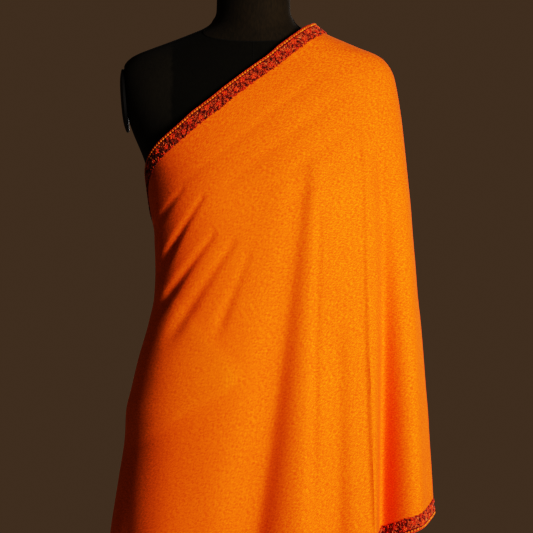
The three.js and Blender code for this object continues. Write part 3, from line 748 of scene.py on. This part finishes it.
def on_band(band, along, inside, out):
    """Points and normals on a band, between its grid's points: along the edge, inside it and out of it."""
    i = np.interp(along, band["along"], np.arange(len(band["along"])))
    i0 = np.clip(i.astype(int), 0, len(band["along"]) - 2)
    j0 = np.clip((inside / BAND_STEP).astype(int), 0, BAND_STEPS - 1)
    fi, fj = (i - i0)[..., None], (inside / BAND_STEP - j0)[..., None]

    def between(grid):
        low = grid[i0, j0] * (1 - fi) + grid[i0 + 1, j0] * fi
        high = grid[i0, j0 + 1] * (1 - fi) + grid[i0 + 1, j0 + 1] * fi
        return low * (1 - fj) + high * fj

    normals = unit(between(band["normals"]))
    return between(band["points"]) + np.asarray(out)[..., None] * normals, normals


def ground_strip(name, band, replaces):
    """The darned ground: a thin closed strip whose inner edge is a row of scallops, |sin|^power waves."""
    length, step, rows = band["along"][-1], 1.5, 9
    along = np.linspace(0, length, int(length / step))[:, None]
    wave = np.abs(np.sin(np.pi * along / BORDER["scallop_pitch"]))
    scallop = BORDER["scallop"] * wave ** BORDER["scallop_power"]
    inside = np.linspace(0, 1, rows)[None, :] * (BORDER["width"] + scallop)
    points, normals = on_band(band, along + 0 * inside, inside, 0 * inside)
    uv = np.stack([along + 0 * inside, inside], -1).reshape(-1, 2)
    strip = wall(points, normals, BORDER["ground"], BORDER["ground_base"])
    return piece(name, strip, [ground], replaces, uv=np.concatenate([uv, uv]))


def dome(sides, levels):
    """The shape of one raised stitch, 1 long and 1 wide each way from its middle and 1 high: rings of
    (share of the outline, height), with pointed ends."""
    angle = np.linspace(0, 2 * np.pi, sides, endpoint=False)[:, None]
    share, height = np.array(levels).T
    x = share * np.cos(angle)
    y = share * np.sin(angle) * np.abs(np.sin(angle)) ** 0.25
    return lofted(np.stack([x, y, height + 0 * angle], -1))


LARGE_STITCH = dome(8, [(1, -0.3), (0.92, 0.35), (0.72, 0.75), (0.38, 1)])
SMALL_STITCH = dome(6, [(1, -0.3), (0.75, 0.7), (0.3, 1)])
PICOT_STITCH = dome(8, [(0.8, -0.3), (1, 0.2), (0.85, 0.7), (0.45, 1)])
# One repeat of the leaves, stems and buds: a stitch's place along the edge and inside it, its angle in
# degrees, its half length, its half width, its height and its thread
LEAVES = table(
    "along inside angle length width height thread",
    (6.0, 13.6, 62, 3.4, 0.9, 1.0, MAROON),
    (26.0, 13.2, 118, 3.4, 0.9, 1.0, MAROON),
    (10.6, 9.0, 60, 3.0, 0.9, 0.9, ROSE),
    (21.6, 8.4, 116, 3.0, 0.9, 0.9, MAROON),
    (4.0, 18.0, 80, 2.0, 1.1, 0.9, RED),
    (28.0, 18.0, 100, 2.0, 1.1, 0.9, RED),
    (9.0, 17.2, 70, 2.4, 0.9, 0.9, ROSE),
    (23.0, 17.4, 106, 2.4, 0.9, 0.9, ROSE),
    (8.2, 6.9, 100, 1.7, 0.9, 0.9, RED),
    (24.0, 6.6, 80, 1.7, 0.9, 0.9, RED),
    (16.0, 7.4, 90, 2.1, 1.1, 1.0, ROSE),
    (0.0, 16.6, 90, 2.3, 0.6, 0.8, MAROON),
    (13.2, 11.0, 95, 2.4, 0.5, 0.7, ROSE),
    (19.0, 11.2, 78, 2.4, 0.5, 0.7, ROSE),
)
MOTIF_START = 3.5  # where the first repeat begins
UNEVEN = {"place": 0.25, "angle": 9}  # the standard deviations of a motif stitch
# Each flower's place along the edge and inside it, its petals, its reach, its thread and its heart's
FLOWERS = [(0, 8.4, 5, 2.5, RED, GOLD), (16, 14.6, 5, 2.2, RED, ROSE)]
# Sizes as shares of a flower's reach, and heights
PETAL = {"first_turn": 12, "length": 0.82, "width": 0.6, "height": 1.1}
HEART = {"size": 0.42, "height": 1.5}
# Lines of slanting stitches along the whole border
LINES = table(
    "inside pitch angle length width height thread",
    (4.7, 2.0, 22, 1.35, 0.55, 0.8, MAROON),
    (0.7, 2.6, -20, 1.5, 0.6, 0.7, RED),
)
# The petals of the scallops, whose threads alternate
SCALLOP_STITCH = (20.1, 90, 1.6, 1.6, 1, RED)
# Short strokes that fill the ground, and a fringe of them on the scallops: how many there are on 1 mm of
# border, their range inside the edge, their angle and its standard deviation, and their threads
FILLER = (0.75, (6, 20.5), (80, 20), [RED, ROSE, ROSE, MAROON, MAROON, MAROON])
FRINGE = (0.45, (20.6, 22.6), (82, 14), [MAROON, MAROON, MAROON, RED])
STROKE = {"length": (1.0, 2.1), "width": (0.4, 0.65), "height": (0.35, 0.6)}


def flower(along, inside, petals, reach, thread, heart):
    """A flower's stitches: petals round a small heart, each petal pointing outwards."""
    size, heart_size = (PETAL["length"] * reach, PETAL["width"] * reach), HEART["size"] * reach
    rows = []
    for turn in np.linspace(0, 360, petals, endpoint=False) + PETAL["first_turn"]:
        away = (reach * math.cos(math.radians(turn)), reach * math.sin(math.radians(turn)))
        rows.append((along + away[0], inside + away[1], turn, *size, PETAL["height"], thread))
    return rows + [(along, inside, 0, heart_size, heart_size, HEART["height"], heart)]


def stitch_line(place, *rest):
    """Equal stitches at places along the edge, as rows with the columns of LEAVES."""
    return np.concatenate([place[:, None], np.tile(rest, (len(place), 1))], -1)


def strokes(length, density, inside, angle, threads):
    """Short strokes at random places, as rows with the columns of LEAVES."""
    count = int(length * density)
    columns = [
        random.uniform(0, length, count),
        random.uniform(*inside, count),
        random.normal(*angle, count),
        random.uniform(*STROKE["length"], count),
        random.uniform(*STROKE["width"], count),
        random.uniform(*STROKE["height"], count),
        random.choice(threads, count),
    ]
    return np.stack(columns, -1)


def stitch_rows(length):
    """The tables of large and small stitches along one border, each repeat a little uneven."""
    repeats = round(length / BORDER["repeat"])
    pitch = length / repeats
    flowers = [row for place in FLOWERS for row in flower(*place)]
    motif = np.array(flowers + list(zip(*LEAVES.values())), float)
    large = np.tile(motif, (repeats, 1))
    large[:, 0] += np.repeat(np.arange(repeats), len(motif)) * pitch + MOTIF_START
    large[:, 0:2] += random.normal(0, UNEVEN["place"], (len(large), 2))
    large[:, 2] += random.normal(0, UNEVEN["angle"], len(large))
    count = round(length / BORDER["scallop_pitch"])
    scallops = stitch_line((np.arange(count) + 0.5) * BORDER["scallop_pitch"], *SCALLOP_STITCH)
    scallops[1::2, -1] = MAROON
    lines = [
        stitch_line(np.arange(0, length, pitch), inside, *rest)
        for inside, pitch, *rest in zip(*LINES.values())
    ]
    small = [*lines, strokes(length, *FILLER), strokes(length, *FRINGE)]
    return np.concatenate([large, scallops]), np.concatenate(small)


def stitches(band, rows, shape):
    """Raised stitches on a band: each is the dome stretched to its sizes, turned by its angle and laid on
    the cloth. Returns the mesh, its UV map, a tone for each point and a thread for each face."""
    margin, spacing = 2.5, 10  # spacing keeps the stitches' UV islands apart
    rows = rows[(rows[:, 0] > margin) & (rows[:, 0] < band["along"][-1] - margin)]
    points, faces = shape
    along, inside, angle, length, width, height, thread = (rows[:, i, None] for i in range(7))
    u, v = points[:, 0] * length, points[:, 1] * width
    c, s = np.cos(np.radians(angle)), np.sin(np.radians(angle))
    out = BORDER["ground"] + points[:, 2] * height
    placed, _ = on_band(band, along + u * c - v * s, np.maximum(inside + u * s + v * c, 0), out)
    start = np.arange(len(rows)) * len(points)
    every = [[first + corner for corner in face] for first in start.tolist() for face in faces]
    tone = np.repeat(random.uniform(0.15, 0.75, len(rows)), len(points))
    uv = np.stack([u + spacing * start[:, None], v], -1).reshape(-1, 2)
    finish_of = np.repeat(thread[:, 0], len(faces))
    return (placed.reshape(-1, 3), every), uv, tone, finish_of


def embroider(name, band):
    """All raised stitches of one border as one piece."""
    large, small = stitch_rows(band["along"][-1])
    parts = [stitches(band, large, LARGE_STITCH), stitches(band, small, SMALL_STITCH)]
    shapes, uvs, tones, threads = zip(*parts)
    return piece(
        name,
        joined(shapes),
        THREADS,
        uv=np.concatenate(uvs),
        marks={"tone": np.concatenate(tones)},
        finish_of=np.concatenate(threads),
    )


def picot_edge(name, band):
    """The outer edge: a rolled cord with a row of gold picots on it, small ovals with rounded tops."""
    length, end = band["along"][-1], CORD["end"]
    along = np.linspace(end, length - end, int(length / CORD["step"]))
    path, normals = on_band(band, along, 0 * along + CORD["inside"], 0 * along - CORD["sink"])
    cord = tube(path, normals, CORD["radius"], CORD["radius"], CORD["sides"])
    u = np.tile(along, CORD["sides"])
    count = round(length / PICOT["pitch"])
    rows = stitch_line((np.arange(count) + 0.5) * length / count, *PICOT["stitch"], GOLD)
    picots, uv, tone, threads = stitches(band, rows, PICOT_STITCH)
    return piece(
        name,
        joined([cord, picots]),
        THREADS,
        uv=np.concatenate([np.stack([u, 0 * u], -1), uv]),
        marks={"tone": np.concatenate([np.full(len(cord[0]), CORD["tone"]), tone])},
        finish_of=np.concatenate([np.full(len(cord[1]), RED), threads]),
    )


def make_borders():
    """Both borders: the ground, the raised stitches and the picot edge of each."""
    top_band = edge_band(TOP, COLUMN["top"][0], COLUMN["top"][-1], -1)
    hem_band = edge_band(HEM, COLUMN["hem"][0], COLUMN["hem"][-1], 1)
    made = []
    for edge, band in (("top", top_band), ("hem", hem_band)):
        nodes = [f"border_{edge}_{stretch}" for stretch in ("front", "tail", "back")]
        made.append(ground_strip(f"border_{edge}_ground", band, nodes))
        made.append(embroider(f"border_{edge}_flowers", band))
        made.append(picot_edge(f"border_{edge}_picots", band))
    return made


borders = make_borders()


# The dress form

FORM_COLUMNS, TORSO_ROWS, NECK_ROWS, SEAM_ROWS = 240, 170, 40, 150
CROWDING = 1.4  # over 1 to bring the torso's rows closer near its top
GAP = 0.3
# The side panels carry a painted sheen
SIDE_PANEL = {"x": 116, "seam": 2}  # where the side panel begins, and how soft its edge is
# Half widths and heights of the sewn seams, in the surface's own directions
NECK_CORD, MIDDLE_CORD = (0.7, 0.6), (0.45, 0.4)
ARM_PLATE = {"half_width": 34, "half_height": 46, "wall": 8, "bulge": 4.5}


def neck_seam_height(turn):
    """The height at which the tilted plane of the neck seam cuts the form at each turn, by repeated
    substitution into z = seam height + slope * y."""
    z = np.full(turn.shape, float(NECK_SEAM["z"]))
    for _ in range(30):
        z = NECK_SEAM["z"] + NECK_SEAM["slope"] * form_point(turn, z)[..., 1]
    return z


def form_rings(low, high, rows):
    """Rings of the form between two heights, which may differ from turn to turn."""
    turn = np.linspace(0, 360, FORM_COLUMNS, endpoint=False)[:, None]
    return form_point(turn, low + (high - low) * rows[None, :])


def form_line(turn, z, lift=0.2):
    """A path on the form with its normals, a little out of the surface."""
    normals = slopes(form_point, turn, z)[2]
    return form_point(turn, z) + lift * normals, normals


def make_form():
    """The torso and the neck, parted by the tilted seam, and the seams sewn on them."""
    turn = np.linspace(0, 360, FORM_COLUMNS, endpoint=False)[:, None]
    seam = neck_seam_height(turn)
    t = np.linspace(0, 1, TORSO_ROWS)
    torso = form_rings(FORM_BOTTOM, seam, 1 - (1 - t) ** CROWDING)
    # Where the side panels' painted sheen lies
    side_panel_sheen = smooth((np.abs(torso[..., 0]) - SIDE_PANEL["x"]) / SIDE_PANEL["seam"])
    marks = {"side_panel_sheen": side_panel_sheen}
    piece("form_torso_cover", lofted(torso), [jersey], ("form_torso",), marks=marks)
    neck = form_rings(seam + GAP, NECK_TOP, np.linspace(0, 1, NECK_ROWS))
    piece("form_neck_cover", lofted(neck), [neck_jersey], ("form_neck",))
    around = np.linspace(0, 360, FORM_COLUMNS, endpoint=False)
    lines = [tube(*form_line(around, neck_seam_height(around)), *NECK_CORD, closed=True)]
    for middle in (0.0, 180.0):
        top = neck_seam_height(np.array([middle]))[0] - 1
        z = np.linspace(top, FORM_BOTTOM + 1, SEAM_ROWS)
        lines.append(tube(*form_line(np.full(len(z), middle), z), *MIDDLE_CORD))
    return piece("form_seams", joined(lines), [seam_thread])


def make_arm_plates():
    """The oval plates at the armholes: a domed disc of radius 1 stretched to the oval and leant on to the
    flat. The dome falls as the fourth power of the distance from the middle."""
    radius = np.concatenate([[1], np.linspace(1, 0.02, 14)])
    height = np.concatenate([[0], ARM_PLATE["wall"] - ARM_PLATE["bulge"] * radius[1:] ** 4])
    s, c = math.sin(ARMHOLE["lean"]), math.cos(ARMHOLE["lean"])
    for name, side in (("left", 1), ("right", -1)):
        points, faces = turned(np.stack([radius, height], -1), 96)
        out = points[:, 2] + GAP
        along, up = points[:, 1] * ARM_PLATE["half_width"], -points[:, 0] * ARM_PLATE["half_height"]
        leant = np.stack([out * c + up * s, along, up * c - out * s], -1)
        placed = leant + [ARMHOLE["x"], 0, ARMHOLE["z"]]
        placed[:, :2] *= side
        node_name = f"form_arm_plate_{name}"
        piece(f"{node_name}_moulding", (placed, faces), [plate_plastic], (node_name,))


make_form()
make_arm_plates()


# The stand

BASE = {"radius": 200, "wall": 8, "edge": 2.5}
POLE = {"radius": 14, "edge": 0.5, "flange": 48, "flange_wall": 6, "flange_edge": 1}
COLLAR = {"radius": 26, "height": 46, "edge": 3}
NECK_CAP = {"radius": 49, "wall": 9, "edge": 2.5}


def make_stand():
    """The base plate, pole, flange, collar and the cap on the neck, all turned."""
    flange_low = FORM_BOTTOM - GAP - POLE["flange_wall"]
    floor_of_pole = BASE["wall"] + GAP
    cap_low = NECK_TOP + GAP
    discs = {
        "stand_base": (BASE["radius"], 0, BASE["wall"], BASE["edge"]),
        "stand_pole": (POLE["radius"], floor_of_pole, flange_low - GAP, POLE["edge"]),
        "stand_flange": (POLE["flange"], flange_low, FORM_BOTTOM - GAP, POLE["flange_edge"]),
        "form_neck_cap": (NECK_CAP["radius"], cap_low, cap_low + NECK_CAP["wall"], NECK_CAP["edge"]),
    }
    for name, sizes in discs.items():
        piece(f"{name}_turned", turned(disc_profile(*sizes)), [stand_coat], (name,), sharp=35)
    bore, top = POLE["radius"] + GAP, floor_of_pole + COLLAR["height"]
    foot = [[bore, floor_of_pole], [COLLAR["radius"], floor_of_pole]]
    round_top = round_edge(COLLAR["radius"], top, COLLAR["edge"], 1)
    shape = turned(np.concatenate([foot, round_top, [[bore, top]]]), closed=True)
    piece("stand_collar_turned", shape, [stand_coat], ("stand_collar",), sharp=35)


make_stand()


# Floor, light and camera

# In metres: the middle of the picture, the camera's distance and the picture's width at the object
VIEW_HEIGHT = 1.0496
VIEW_SIDE = 0.0189
VIEW_DISTANCE = 5.5
VIEW_FRAME = 0.773
FLOOR = {"radius": 1900, "top": -0.5, "wall": 20, "edge": 2}
# Light in the scene against light in the picture
TONE = [
    (0, 0), (0.012, 0.0085), (0.03, 0.031), (0.075, 0.115),
    (0.125, 0.23), (0.204, 0.44), (0.312, 0.6), (0.453, 0.73),
    (0.624, 0.84), (0.837, 0.95), (1, 0.99),
]


def make_floor():
    """A round pale floor with faint cloudy tone."""
    made, tree, shader = material("pale_studio_floor", Roughness=0.8, Specular_IOR_Level=0.2)
    place = node(tree, "TexCoord").outputs["Object"]
    clouds = node(tree, "TexNoise", {"Vector": place, "Scale": 2.5, "Detail": 3}).outputs[0]
    stops = [(0.3, "C9C6C1"), (0.7, "D3D0CB")]
    node(tree, "ValToRGB", {"Fac": clouds}, stops, to=shader.inputs["Base Color"])
    low = FLOOR["top"] - FLOOR["wall"]
    disc = disc_profile(FLOOR["radius"], low, FLOOR["top"], FLOOR["edge"])
    solid("floor", turned(disc, 96), [made])


def area_light(name, place, aim, size, power, spread, colour="FFFFFF"):
    """A square softbox at a place, turned to face a point, in metres and watts. A grid on it narrows its
    light to a spread in degrees."""
    light = bpy.data.lights.new(name, "AREA")
    light.size = size
    light.energy = power
    light.spread = math.radians(spread)
    light.color = linear(colour)
    made = bpy.data.objects.new(name, light)
    bpy.context.scene.collection.objects.link(made)
    made.location = place
    heading = Vector(aim) - Vector(place)
    made.rotation_euler = heading.to_track_quat("-Z", "Y").to_euler()


def make_studio():
    """A softbox with a grid on the right, a larger bare one behind for the back, and a dim room."""
    key = {"size": 1.1, "power": 9.6, "spread": 50, "colour": "FFF8F0"}
    area_light("key_softbox", (2.09, -2.49, 1.3), (0.1, 0, 1), **key)
    area_light("back_softbox", (0.9, 3.2, 1.7), (0, 0, 1), size=2.2, power=22, spread=180)
    world = bpy.data.worlds.new("dim_studio")
    bpy.context.scene.world = world
    world.use_nodes = True
    background = world.node_tree.nodes["Background"]
    background.inputs["Color"].default_value = (*linear("3A2E23"), 1)
    background.inputs["Strength"].default_value = 1.0
    print_tone()


def print_tone():
    """The picture's tone, as a camera gives it: deep shadows, and highlights that flatten out slowly."""
    view = bpy.context.scene.view_settings
    view.view_transform = "Standard"
    view.use_curve_mapping = True
    points = view.curve_mapping.curves[3].points
    for place, value in TONE[1:-1]:
        points.new(place, value)
    points[0].location, points[-1].location = TONE[0], TONE[-1]
    view.curve_mapping.update()


def make_camera():
    """A long lens, level with the middle of the frame, straight in front."""
    camera = bpy.data.cameras.new("camera")
    camera.sensor_width = 36
    camera.lens = camera.sensor_width * VIEW_DISTANCE / VIEW_FRAME
    made = bpy.data.objects.new("camera", camera)
    made.location = (VIEW_SIDE, -VIEW_DISTANCE, VIEW_HEIGHT)
    made.rotation_euler = (math.pi / 2, 0, 0)
    bpy.context.scene.collection.objects.link(made)
    bpy.context.scene.camera = made


make_floor()
make_studio()
make_camera()
